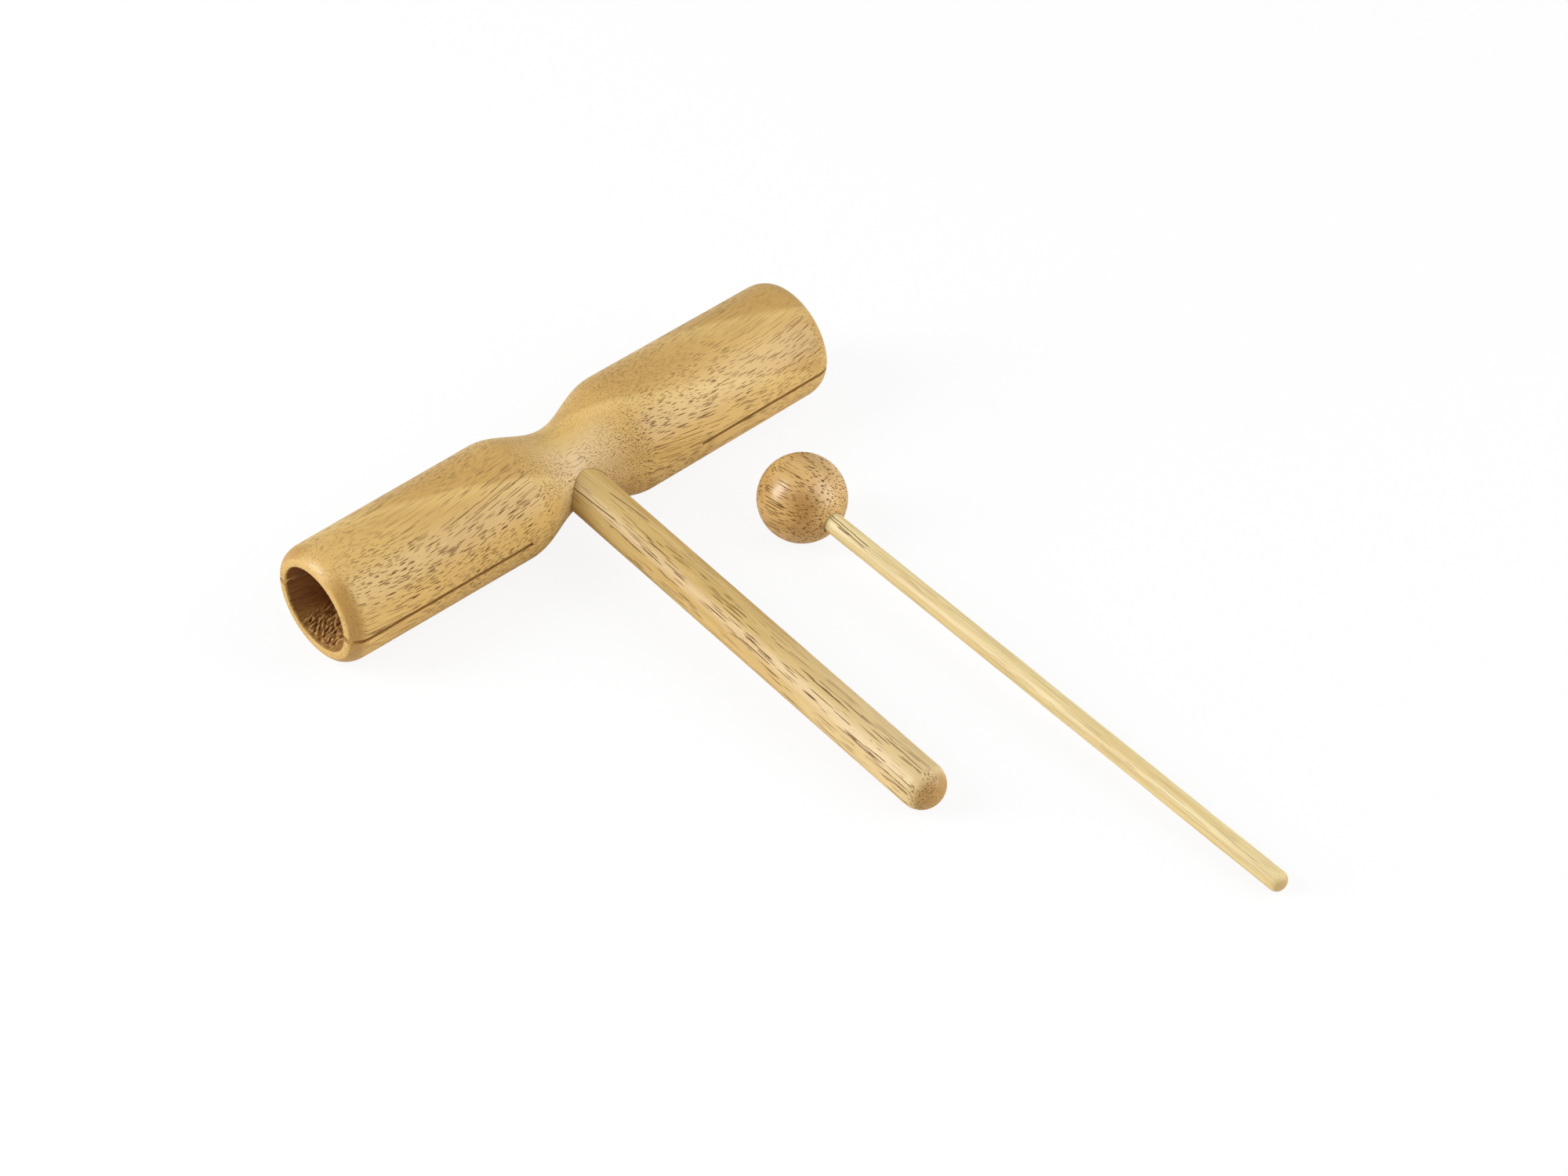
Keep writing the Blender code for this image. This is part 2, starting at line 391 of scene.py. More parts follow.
def turning_tree():
    """Spins a profile about X, and sands it a little unevenly, only ever inwards."""
    tree, given = new_geometry_tree("turning", ["Segments", "Sanding depth", "Sanding length"])
    profile = given["Geometry"]
    segments = given["Segments"]
    rows = add_node(tree, "GeometryNodeAttributeDomainSize", {"Geometry": profile}, component="MESH")
    columns = add_node(tree, "FunctionNodeIntegerMath", {0: segments, 1: 1}, operation="ADD").outputs[0]
    sheet = add_node(
        tree, "GeometryNodeMeshGrid", {"Vertices X": rows.outputs["Point Count"], "Vertices Y": columns}
    ).outputs["Mesh"]
    index = add_node(tree, "GeometryNodeInputIndex").outputs[0]
    counted = {0: index, 1: columns}
    row = add_node(tree, "FunctionNodeIntegerMath", counted, operation="DIVIDE_FLOOR").outputs[0]
    column = add_node(tree, "FunctionNodeIntegerMath", counted, operation="MODULO").outputs[0]
    place = add_node(tree, "GeometryNodeInputPosition").outputs[0]
    sampled = add_node(
        tree,
        "GeometryNodeSampleIndex",
        {"Geometry": profile, "Value": place, "Index": row},
        data_type="FLOAT_VECTOR",
    ).outputs[0]
    turn = add_node(tree, MATH, {0: column, 1: segments}, operation="DIVIDE").outputs[0]
    angle = add_node(tree, MATH, {0: turn, 1: math.tau}, operation="MULTIPLY").outputs[0]
    spun = add_node(
        tree, "ShaderNodeVectorRotate", {"Vector": sampled, "Angle": angle}, rotation_type="X_AXIS"
    ).outputs[0]
    waves = add_node(
        tree, VECTOR_MATH, {0: spun, 1: given["Sanding length"]}, operation="DIVIDE"
    ).outputs[0]
    uneven = add_node(tree, "ShaderNodeTexNoise", {"Vector": waves, "Scale": 1.0, "Detail": 1.0})
    depth = add_node(
        tree, MATH, {0: uneven.outputs["Fac"], 1: given["Sanding depth"]}, operation="MULTIPLY"
    ).outputs[0]
    split = add_node(tree, "ShaderNodeSeparateXYZ", {0: sampled}).outputs
    sanding_and_sheen = add_node(tree, MATH, {0: split["Z"], 1: depth}, operation="SUBTRACT").outputs[0]
    kept = add_node(tree, MATH, {0: sanding_and_sheen, 1: 0.0}, operation="MAXIMUM").outputs[0]
    straight = add_node(tree, "ShaderNodeCombineXYZ", {"X": split["X"], "Z": kept}).outputs[0]
    surface = add_node(
        tree, "ShaderNodeVectorRotate", {"Vector": straight, "Angle": angle}, rotation_type="X_AXIS"
    ).outputs[0]
    turned = add_node(tree, "GeometryNodeSetPosition", {"Geometry": sheet, "Position": surface}).outputs[0]
    closed = add_node(
        tree, "GeometryNodeMergeByDistance", {"Geometry": turned, "Distance": MERGE_DISTANCE}
    ).outputs[0]
    end_geometry_tree(tree, given, closed)
    return tree


def spin(name, profile, material, sanding_depth, sanding_length):
    """Object with a profile as its mesh and the turning tree on it."""
    mesh = bpy.data.meshes.new(name)
    points = [(along, 0.0, radius) for along, radius in profile]
    edges = [(index, index + 1) for index in range(len(points) - 1)]
    mesh.from_pydata(points, edges, [])
    piece = bpy.data.objects.new(name, mesh)
    bpy.context.scene.collection.objects.link(piece)
    sizes = {"Segments": SEGMENTS, "Sanding depth": sanding_depth, "Sanding length": sanding_length}
    put_tree(piece, TURNING, {**sizes, "Material": material})
    return piece


def put_tree(piece, tree, values):
    """Add a geometry tree to a piece, its inputs set by their identifiers."""
    modifier = piece.modifiers.new(tree.name, "NODES")
    modifier.node_group = tree
    for socket in tree.interface.items_tree:
        if socket.in_out == "INPUT" and socket.name in values:
            modifier[socket.identifier] = values[socket.name]


def settle(piece, place):
    """Turn a piece's trees into a plain mesh, in its place, shaded smooth between sharp edges."""
    evaluated = piece.evaluated_get(bpy.context.evaluated_depsgraph_get())
    mesh = bpy.data.meshes.new_from_object(evaluated)
    mesh.name = piece.name
    piece.modifiers.clear()
    piece.data = mesh
    mesh.transform(place)
    mesh.shade_smooth()
    mesh.set_sharp_from_angle(angle=SMOOTH_ANGLE)
    mesh.update()


# Sizes that the sawing tree is given
SAWING_SIZES = {
    "Bore radius": BORE_RADIUS,
    "Half length": HALF_LENGTH,
    "Tear depth": TEAR_DEPTH,
    "Tear reach": TORN_REACH,
    "Kerf width": KERF_WIDTH,
    "Low kerf length": LOW_KERF_LENGTH,
    "High kerf length": HIGH_KERF_LENGTH,
    "Kerf fray": KERF_FRAY,
    "Socket radius": HANDLE_RADIUS + GLUE_LINE,
    "Socket bottom": SOCKET_BOTTOM,
    "Cut reach": 2 * (BARREL_RADIUS + CUT_MARGIN),
}


def sawing_tree():
    """Tears the bores where the cutter met the grain, then saws both kerfs and drills the socket."""
    tree, given = new_geometry_tree("sawing", SAWING_SIZES)
    torn = torn_bore(tree, given)
    cutters = [
        kerf_cutter(tree, given, "Low kerf length", -1.0),
        kerf_cutter(tree, given, "High kerf length", 1.0),
        socket_cutter(tree, given),
    ]
    sawn = add_node(
        tree,
        "GeometryNodeMeshBoolean",
        {"Mesh 1": torn, "Mesh 2": cutters},
        operation="DIFFERENCE",
        solver="MANIFOLD",
    )
    end_geometry_tree(tree, given, sawn.outputs["Mesh"])
    return tree


def torn_bore(tree, given):
    """Bore walls with short slanting ridges of torn grain, along the bottom of each mouth."""
    place = add_node(tree, "GeometryNodeInputPosition").outputs[0]
    split = add_node(tree, "ShaderNodeSeparateXYZ", {0: place}).outputs
    across = add_node(tree, "ShaderNodeCombineXYZ", {"Y": split["Y"], "Z": split["Z"]}).outputs[0]
    radius = add_node(tree, VECTOR_MATH, {0: across}, operation="LENGTH").outputs["Value"]
    outwards = add_node(tree, VECTOR_MATH, {0: across}, operation="NORMALIZE").outputs[0]
    from_middle = add_node(tree, MATH, {0: split["X"]}, operation="ABSOLUTE").outputs[0]
    depth = add_node(
        tree, MATH, {0: given["Half length"], 1: from_middle}, operation="SUBTRACT"
    ).outputs[0]
    # Slanting coordinates on the wall, unrolled from its lowest line
    below = add_node(tree, MATH, {0: split["Z"], 1: -1.0}, operation="MULTIPLY").outputs[0]
    angle = add_node(tree, MATH, {0: split["Y"], 1: below}, operation="ARCTAN2").outputs[0]
    around = add_node(tree, MATH, {0: angle, 1: given["Bore radius"]}, operation="MULTIPLY").outputs[0]
    wall = add_node(tree, "ShaderNodeCombineXYZ", {"X": split["X"], "Y": around}).outputs[0]
    turned = add_node(
        tree, "ShaderNodeVectorRotate", {"Vector": wall, "Angle": -TEAR_SLANT}, rotation_type="Z_AXIS"
    ).outputs[0]
    slanted = add_node(
        tree, VECTOR_MATH, {0: turned, 1: (TEAR_LENGTH, TEAR_WIDTH, 1.0)}, operation="DIVIDE"
    ).outputs[0]
    ridges = add_node(tree, "ShaderNodeTexNoise", {"Vector": slanted, "Scale": 1.0, "Detail": 1.0})
    low, high = NOISE_SPAN
    heights = {"Value": ridges.outputs["Fac"], "From Min": low, "From Max": high, "To Min": -1.0}
    height = add_node(tree, "ShaderNodeMapRange", heights).outputs["Result"]
    # Where it tears: behind the lip, fading inwards, on one side of the bore
    toward = add_node(
        tree, VECTOR_MATH, {0: outwards, 1: TEAR_SIDE}, operation="DOT_PRODUCT"
    ).outputs["Value"]
    torn = mask(
        tree,
        (toward, *TEAR_EDGES),
        (depth, 2 * LIP_ROUND, 6 * LIP_ROUND),
        (depth, given["Tear reach"], TEAR_FULL),
    )
    amount = together(tree, torn, height, given["Tear depth"])
    offset = add_node(tree, VECTOR_MATH, {0: outwards, "Scale": amount}, operation="SCALE").outputs[0]
    gap = add_node(tree, MATH, {0: given["Bore radius"], 1: radius}, operation="SUBTRACT").outputs[0]
    near = add_node(tree, MATH, {0: gap}, operation="ABSOLUTE").outputs[0]
    on_wall = add_node(
        tree, "FunctionNodeCompare", {0: near, 1: LIP_ROUND / 2}, operation="LESS_THAN"
    ).outputs[0]
    moving = {"Geometry": given["Geometry"], "Selection": on_wall, "Offset": offset}
    return add_node(tree, "GeometryNodeSetPosition", moving).outputs[0]


def kerf_cutter(tree, given, length_name, side):
    """Saw cut open at one rim, its walls a little frayed and its mouth eased."""
    reach = given["Cut reach"]
    length = add_node(tree, MATH, {0: given[length_name], 1: CUT_MARGIN}, operation="ADD").outputs[0]
    size = add_node(
        tree, "ShaderNodeCombineXYZ", {"X": length, "Y": reach, "Z": given["Kerf width"]}
    ).outputs[0]
    blade = add_node(
        tree,
        "GeometryNodeMeshCube",
        {"Size": size, "Vertices X": BLADE_COLUMNS, "Vertices Y": BLADE_ROWS, "Vertices Z": 2},
    ).outputs["Mesh"]
    place = add_node(tree, "GeometryNodeInputPosition").outputs[0]
    finer = add_node(tree, VECTOR_MATH, {0: place, 1: FRAY_PITCH}, operation="DIVIDE").outputs[0]
    rough = add_node(tree, "ShaderNodeTexNoise", {"Vector": finer, "Scale": 1.0, "Detail": 3.0})
    centred = add_node(tree, MATH, {0: rough.outputs["Fac"], 1: 0.5}, operation="SUBTRACT").outputs[0]
    lift = add_node(tree, MATH, {0: centred, 1: given["Kerf fray"]}, operation="MULTIPLY").outputs[0]
    half = add_node(tree, MATH, {0: length, 1: 0.5}, operation="MULTIPLY").outputs[0]
    split = add_node(tree, "ShaderNodeSeparateXYZ", {0: place}).outputs
    outwards = add_node(tree, MATH, {0: split["X"], 1: side}, operation="MULTIPLY").outputs[0]
    rim = add_node(tree, MATH, {0: half, 1: CUT_MARGIN}, operation="SUBTRACT").outputs[0]
    inner = add_node(tree, MATH, {0: rim, 1: EASED_REACH}, operation="SUBTRACT").outputs[0]
    wall = add_node(tree, MATH, {0: split["Z"]}, operation="SIGN").outputs[0]
    eased = together(tree, mask(tree, (outwards, inner, rim)), wall)
    shift_up = add_node(
        tree, MATH, {0: eased, 1: KERF_EASING, 2: lift}, operation="MULTIPLY_ADD"
    ).outputs[0]
    offset = add_node(tree, "ShaderNodeCombineXYZ", {"Z": shift_up}).outputs[0]
    frayed = add_node(tree, "GeometryNodeSetPosition", {"Geometry": blade, "Offset": offset}).outputs[0]
    end = add_node(tree, MATH, {0: given["Half length"], 1: CUT_MARGIN}, operation="ADD").outputs[0]
    middle = add_node(tree, MATH, {0: end, 1: half}, operation="SUBTRACT").outputs[0]
    along = add_node(tree, MATH, {0: middle, 1: side}, operation="MULTIPLY").outputs[0]
    shift = add_node(tree, "ShaderNodeCombineXYZ", {"X": along}).outputs[0]
    return add_node(tree, "GeometryNodeTransform", {"Geometry": frayed, "Translation": shift}).outputs[0]


def socket_cutter(tree, given):
    """Drill for the handle, from the socket's floor out past the waist, towards -Y."""
    bottom = given["Socket bottom"]
    mouth = given["Half length"]
    depth = add_node(tree, MATH, {0: mouth, 1: bottom}, operation="SUBTRACT").outputs[0]
    drill = add_node(
        tree,
        "GeometryNodeMeshCylinder",
        {"Vertices": SEGMENTS, "Radius": given["Socket radius"], "Depth": depth},
    ).outputs["Mesh"]
    total = add_node(tree, MATH, {0: mouth, 1: bottom}, operation="ADD").outputs[0]
    back = add_node(tree, MATH, {0: total, 1: -0.5}, operation="MULTIPLY").outputs[0]
    shift = add_node(tree, "ShaderNodeCombineXYZ", {"Y": back}).outputs[0]
    return add_node(
        tree,
        "GeometryNodeTransform",
        {"Geometry": drill, "Translation": shift, "Rotation": (math.pi / 2, 0.0, 0.0)},
    ).outputs[0]


# Wood patterns, in millimetres

def linear(hex_colour):
    """Linear colour from an sRGB hex value."""
    channels = [int(hex_colour[place:place + 2], 16) / 255 for place in (1, 3, 5)]
    bent = [c / 12.92 if c <= 0.04045 else ((c + 0.055) / 1.055) ** 2.4 for c in channels]
    return (*bent, 1.0)


def wood_coordinates(tree, place, lean, wander):
    """A piece's own coordinates in millimetres, and wandering ones that run along its grain in Z."""
    spot = add_node(tree, "ShaderNodeTexCoord").outputs["Object"]
    frame_of_piece = {
        "Vector": spot,
        "Location": place.to_translation(),
        "Rotation": place.to_euler(),
        "Scale": (MM, MM, MM),
    }
    own = add_node(tree, "ShaderNodeMapping", frame_of_piece, vector_type="TEXTURE").outputs[0]
    grain = add_node(
        tree, "ShaderNodeMapping", {"Vector": own, "Rotation": lean}, vector_type="TEXTURE"
    ).outputs[0]
    slow = add_node(tree, VECTOR_MATH, {0: grain, 1: WANDER_PITCH}, operation="DIVIDE").outputs[0]
    drift = add_node(tree, "ShaderNodeTexNoise", {"Vector": slow, "Scale": 1.0, "Detail": 1.0})
    centred = add_node(
        tree, VECTOR_MATH, {0: drift.outputs["Color"], 1: (0.5, 0.5, 0.5)}, operation="SUBTRACT"
    ).outputs[0]
    lines = add_node(
        tree, VECTOR_MATH, {0: centred, 1: (wander, wander, 0.0), 2: grain}, operation="MULTIPLY_ADD"
    ).outputs[0]
    return own, lines


def swing(tree, lines):
    """Grain lines of the body, which also sink along it and swing in one long wave."""
    along = add_node(tree, "ShaderNodeSeparateXYZ", {0: lines}).outputs["Z"]
    turn = math.tau / SWING_LENGTH
    phase = add_node(
        tree, MATH, {0: along, 1: turn, 2: turn * SWING_SHIFT}, operation="MULTIPLY_ADD"
    ).outputs[0]
    wave = add_node(tree, MATH, {0: phase}, operation="COSINE").outputs[0]
    climb = add_node(tree, MATH, {0: along, 1: GRAIN_RISE}, operation="MULTIPLY").outputs[0]
    upstep = SWING_HEIGHT * math.cos(SWING_TURN)
    lift = add_node(tree, MATH, {0: wave, 1: upstep, 2: climb}, operation="MULTIPLY_ADD").outputs[0]
    sidestep = -SWING_HEIGHT * math.sin(SWING_TURN)
    aside = add_node(tree, MATH, {0: wave, 1: sidestep}, operation="MULTIPLY").outputs[0]
    offset = add_node(tree, "ShaderNodeCombineXYZ", {"X": lift, "Y": aside}).outputs[0]
    return add_node(tree, VECTOR_MATH, {0: lines, 1: offset}, operation="ADD").outputs[0]


def stretched_noise(tree, lines, width, length, detail):
    """Noise drawn out along the grain, from 0 to 1."""
    size = add_node(
        tree, VECTOR_MATH, {0: lines, 1: (width, width, length)}, operation="DIVIDE"
    ).outputs[0]
    made = add_node(tree, "ShaderNodeTexNoise", {"Vector": size, "Scale": 1.0, "Detail": detail})
    return made.outputs["Fac"]


def tint(tree, under, over, *masks):
    """Colour with another laid over it, as far as the masks and shares let it."""
    colours = [linear(colour) if isinstance(colour, str) else colour for colour in (under, over)]
    inputs = {MIX_SHARE: together(tree, *masks), MIX_FIRST: colours[0], MIX_SECOND: colours[1]}
    return add_node(tree, "ShaderNodeMix", inputs, data_type="RGBA").outputs[MIX_RESULT]


def vessels(tree, lines, spacing, width, share, length):
    """Mask of the open vessels: tubes along the grain, cut into dashes and dots by the surface.

    Their widths vary about the given one, which is near a real vessel's 0.2 mm.
    """
    cells = add_node(
        tree, "ShaderNodeTexVoronoi", {"Vector": lines, "Scale": 1.0 / spacing}, voronoi_dimensions="2D"
    )
    chance = add_node(tree, "ShaderNodeSeparateColor", {0: cells.outputs["Color"]}).outputs
    size = width / 2 / spacing
    sizes = {0: chance["Red"], 1: VESSEL_SPREAD * size, 2: VESSEL_SLIMMEST * size}
    radius = add_node(tree, MATH, sizes, operation="MULTIPLY_ADD").outputs[0]
    heart = add_node(tree, MATH, {0: radius, 1: VESSEL_HEART}, operation="MULTIPLY").outputs[0]
    open_tube = mask(tree, (cells.outputs["Distance"], radius, heart))
    held = add_node(tree, MATH, {0: chance["Green"], 1: share}, operation="LESS_THAN").outputs[0]
    along = add_node(tree, "ShaderNodeSeparateXYZ", {0: lines}).outputs["Z"]
    step = add_node(tree, MATH, {0: along, 1: 1.0 / length}, operation="MULTIPLY").outputs[0]
    own_row = add_node(tree, MATH, {0: chance["Blue"], 1: VESSEL_ROWS}, operation="MULTIPLY").outputs[0]
    row = add_node(tree, "ShaderNodeCombineXYZ", {"X": own_row, "Y": step}).outputs[0]
    gaps = add_node(
        tree, "ShaderNodeTexNoise", {"Vector": row, "Scale": 1.0, "Detail": 0.0}, noise_dimensions="2D"
    )
    return together(tree, open_tube, held, mask(tree, (gaps.outputs["Fac"], *VESSEL_BREAKS)))


def thinned(tree, pores, ways):
    """Vessels that show less here and there: (value, start, end, share before it, share past it)."""
    for value, start, end, before, past in ways:
        change = {"Value": value, "From Min": start, "From Max": end, "To Min": before, "To Max": past}
        pores = together(tree, pores, add_node(tree, "ShaderNodeMapRange", change).outputs["Result"])
    return pores


def long_vessels(tree, own, radius, courses):
    """Mask of single long vessels on a dowel, each a thin wavering line between two ends."""
    split = add_node(tree, "ShaderNodeSeparateXYZ", {0: own}).outputs
    turn = add_node(tree, MATH, {0: split["Z"], 1: split["Y"]}, operation="ARCTAN2").outputs[0]
    waver = stretched_noise(tree, own, width=3.0, length=3.0, detail=1.0)
    bends = {0: waver, 1: LONG_VESSEL_WAVER, 2: -LONG_VESSEL_WAVER / 2}
    bend = add_node(tree, MATH, bends, operation="MULTIPLY_ADD").outputs[0]
    all_drawn = 0.0
    for (start, first), (end, last) in courses:
        run = {"Value": split["X"], "From Min": start, "From Max": end}
        turns = {"To Min": math.radians(first), "To Max": math.radians(last)}
        course = add_node(tree, "ShaderNodeMapRange", {**run, **turns}).outputs["Result"]
        beside = add_node(tree, MATH, {0: turn, 1: course}, operation="SUBTRACT").outputs[0]
        bent = add_node(
            tree, MATH, {0: beside, 1: radius / MM, 2: bend}, operation="MULTIPLY_ADD"
        ).outputs[0]
        off = add_node(tree, MATH, {0: bent}, operation="ABSOLUTE").outputs[0]
        drawn = mask(
            tree,
            (off, LONG_VESSEL_WIDTH / 2, LONG_VESSEL_WIDTH / 4),
            (split["X"], start, start + LONG_VESSEL_START),
            (split["X"], end, end - LONG_VESSEL_END),
        )
        all_drawn = add_node(tree, MATH, {0: all_drawn, 1: drawn}, operation="MAXIMUM").outputs[0]
    return all_drawn


def fibred(tree, base, fibres, dark, light):
    """Wood colour with streaks along the grain, darker and lighter.

    Real fibres are far finer than these streaks, which are drawn coarse enough to show in the picture.
    """
    darker = tint(tree, base, dark, mask(tree, (fibres, *DARK_FIBRES)), FIBRE_SHARE)
    return tint(tree, darker, light, mask(tree, (fibres, *PALE_FIBRES)), FIBRE_SHARE)


def grooves(tree, pores, fibres, share):
    """Height of the surface: pores sunk by one, fibres raised by a share of that."""
    raised = add_node(tree, MATH, {0: fibres, 1: share}, operation="MULTIPLY").outputs[0]
    return add_node(tree, MATH, {0: pores, 1: -1.0, 2: raised}, operation="MULTIPLY_ADD").outputs[0]


def new_material(name):
    """Material with an empty tree."""
    material = bpy.data.materials.new(name)
    material.use_nodes = True
    tree = material.node_tree
    tree.nodes.clear()
    return material, tree


def lacquer(tree, colour, bare, height, depth, roughness, coat, coat_roughness):
    """Clear lacquer over wood: the wood's colour under a soft sheen, dull where it is bare."""
    bump = add_node(tree, "ShaderNodeBump", {"Strength": 1.0, "Distance": depth * MM, "Height": height})
    film = add_node(tree, "ShaderNodeMapRange", {"Value": bare, "To Min": coat, "To Max": 0.0})
    dulling = {"Value": bare, "To Min": roughness, "To Max": BARE_ROUGHNESS}
    dull = add_node(tree, "ShaderNodeMapRange", dulling)
    shader = add_node(
        tree,
        "ShaderNodeBsdfPrincipled",
        {
            "Base Color": colour,
            "Roughness": dull.outputs["Result"],
            "IOR": LACQUER_IOR,
            "Coat Weight": film.outputs["Result"],
            "Coat Roughness": coat_roughness,
            "Normal": bump.outputs[0],
        },
    )
    add_node(tree, "ShaderNodeOutputMaterial", {"Surface": shader.outputs[0]})


def growth_layers(tree, own, lines):
    """Colour of the growth layers: each starts at a fine line, darkens and pales again."""
    layer = add_node(
        tree, VECTOR_MATH, {0: own, 1: LAYER_ACROSS / LAYER_SPACING}, operation="DOT_PRODUCT"
    ).outputs["Value"]
    waver = stretched_noise(tree, lines, width=15.0, length=40.0, detail=1.0)
    wavy = add_node(tree, MATH, {0: waver, 1: LAYER_WAVER, 2: layer}, operation="MULTIPLY_ADD").outputs[0]
    counted = add_node(tree, MATH, {0: wavy, 1: LAYER_START}, operation="SUBTRACT").outputs[0]
    # In front of the near barrel's line no other layer shows
    kept = add_node(tree, MATH, {0: counted, 1: LAYER_LAST}, operation="MAXIMUM").outputs[0]
    year = add_node(tree, MATH, {0: kept}, operation="FRACT").outputs[0]
    tone = add_node(tree, "ShaderNodeValToRGB", {"Fac": year})
    elements = tone.color_ramp.elements
    while len(elements) < len(BODY_TONES):
        elements.new(1.0)
    for element, (place, hex_colour) in zip(elements, BODY_TONES):
        element.position = place
        element.color = linear(hex_colour)
    # The early part of a layer is darker on top of both barrels, but not at the near end: partly the
    # wood's tone, partly painted shade on the tops
    split = add_node(tree, "ShaderNodeSeparateXYZ", {0: own}).outputs
    outward = add_node(tree, MATH, {0: split["X"]}, operation="ABSOLUTE").outputs[0]
    rising = add_node(
        tree, "ShaderNodeMapRange", {"Value": year, "From Max": 0.22, "To Min": 0.35}
    ).outputs["Result"]
    early_wood_and_shade = mask(
        tree, (year, 0.95, 0.3), (outward, 2.0, 24.0), (split["Z"], 2.0, 15.0), (split["X"], -80.0, -55.0)
    )
    return tint(tree, tone.outputs[0], "#A47224", rising, early_wood_and_shade, 0.42)


def body_spot(tree, own):
    """Where a point of the body lies: along, back and up, and how far from its axis and middle planes."""
    split = add_node(tree, "ShaderNodeSeparateXYZ", {0: own}).outputs
    across = add_node(tree, "ShaderNodeCombineXYZ", {"Y": split["Y"], "Z": split["Z"]}).outputs[0]
    spot = {"along": split["X"], "back": split["Y"], "up": split["Z"], "across": across}
    spot["radius"] = add_node(tree, VECTOR_MATH, {0: across}, operation="LENGTH").outputs["Value"]
    for distance, place in (("outward", "along"), ("sideways", "back"), ("off_plane", "up")):
        spot[distance] = add_node(tree, MATH, {0: spot[place]}, operation="ABSOLUTE").outputs[0]
    return spot


def body_outside(tree, own, lines, spot, fibres, pores):
    """Colour of the lacquered outside, and the vessels that show there."""
    layers = growth_layers(tree, own, lines)
    clouds = stretched_noise(tree, lines, width=13.0, length=42.0, detail=2.0)
    clouded = tint(tree, layers, "#B48C48", mask(tree, (clouds, 0.48, 0.72)), 0.25)
    streaked = fibred(tree, clouded, fibres, "#A88040", "#E2C07E")
    # Browner on the front and back of the near end's round: partly end grain, where its front cuts across
    # the fibres, partly painted shade
    near_end = -HALF_LENGTH / MM
    rim_edge = RIM_RADIUS / MM
    brown = mask(
        tree,
        (spot["along"], near_end + 7.0, near_end + 3.0),
        (spot["sideways"], 4.0, 12.0),
        (spot["radius"], rim_edge, rim_edge + 1.0),
    )
    browned = tint(tree, streaked, "#A67A34", brown, 0.75)
    # Paler in front of the waist: partly the hollow sanded across the fibres, partly a painted sheen
    sanding_and_sheen = mask(tree, (spot["outward"], 20.0, 6.0), (spot["back"], 2.0, -8.0))
    paled = tint(tree, browned, "#DFC59C", sanding_and_sheen, 0.45)
    # The far barrel is fairer in front, but not at its end
    far_front = mask(
        tree, (spot["along"], 15.0, 45.0), (spot["along"], 95.0, 75.0), (spot["back"], 0.0, -12.0)
    )
    fair = tint(tree, paled, "#F0CC82", far_front, 0.35)
    patches = stretched_noise(tree, lines, width=9.0, length=24.0, detail=1.0)
    ways = [
        # Most show in front and behind, fewer on top and bottom
        (spot["sideways"], 0.0, 14.0, 0.35, 1.0),
        # Openings are smaller on the waist and on the brown round, where the vessels end in dots
        (spot["outward"], 8.0, 28.0, 0.85, 1.0),
        (brown, 0.0, 1.0, 1.0, 0.4),
        # Fewer are open towards the far end
        (spot["along"], 60.0, 85.0, 1.0, 0.7),
    ]
    shown = thinned(tree, together(tree, pores, mask(tree, (patches, 0.15, 0.45))), ways)
    return tint(tree, fair, "#623402", shown, 0.97), shown


def bore_wall(tree, spot, fibres, pores, colour):
    """Colour with the bores' raw wood under painted shade and light: darker behind, paler where it tore,
    and where that lies.
    """
    half = HALF_LENGTH / MM
    wall = BORE_RADIUS / MM
    bore = mask(
        tree,
        (spot["radius"], wall + 0.45, wall + 0.38),
        (spot["outward"], half - 0.5, half - 1.1),
        (spot["outward"], 20.0, 24.0),
    )
    # Raw wood, its dark red partly painted shade of the deep bore
    raw = tint(tree, "#8E4410", "#A25A1E", fibres)
    # Painted shade on the back wall
    shaded = tint(tree, raw, "#5C2606", mask(tree, (spot["back"], -2.0, 10.0)), 0.55)
    toward = add_node(
        tree, VECTOR_MATH, {0: spot["across"], 1: TEAR_SIDE}, operation="DOT_PRODUCT"
    ).outputs["Value"]
    torn = mask(tree, (toward, wall * 0.60, wall * 0.88), (spot["outward"], half - 17.0, half - 7.0))
    # Paler where it tore: torn fibres, and painted light where it falls on the lower wall near the mouth
    paled = tint(tree, shaded, "#9C6A2C", torn)
    # Painted highlight on the crests of the torn ridges, and painted shade in the hollows between them
    ridged = tint(tree, paled, "#D8B070", mask(tree, (spot["radius"], wall + 0.02, wall - 0.20)))
    hollowed = tint(tree, ridged, "#5E3814", mask(tree, (spot["radius"], wall + 0.02, wall + 0.20)))
    pored = tint(tree, hollowed, "#3C1E0A", pores, 0.4)
    return tint(tree, colour, pored, bore), bore


def kerf_wall(tree, spot, colour):
    """Colour with the kerfs' sawn walls under painted shade, darker behind but with painted light at the
    rim, and where they lie.
    """
    half = HALF_LENGTH / MM
    saw_line = KERF_WIDTH / 2 / MM
    low_end = LOW_KERF_LENGTH / MM - half
    high_end = half - HIGH_KERF_LENGTH / MM
    in_low = mask(tree, (spot["along"], low_end + 0.1, low_end))
    in_high = mask(tree, (spot["along"], high_end - 0.1, high_end))
    either = add_node(tree, MATH, {0: in_low, 1: in_high}, operation="MAXIMUM").outputs[0]
    kerf = together(tree, mask(tree, (spot["off_plane"], saw_line + 0.10, saw_line + 0.04)), either)
    # Back wall: painted shade deep in the cut, painted light near the rim, where light falls in at the
    # open end
    behind = tint(tree, "#80501E", "#CDA66A", mask(tree, (spot["outward"], half - 14.0, half - 3.0)))
    # The front wall is sawn wood darkened by painted shade
    sawn = tint(tree, "#A07236", behind, mask(tree, (spot["back"], -2.0, 2.0)))
    return tint(tree, colour, sawn, kerf, 0.75), kerf


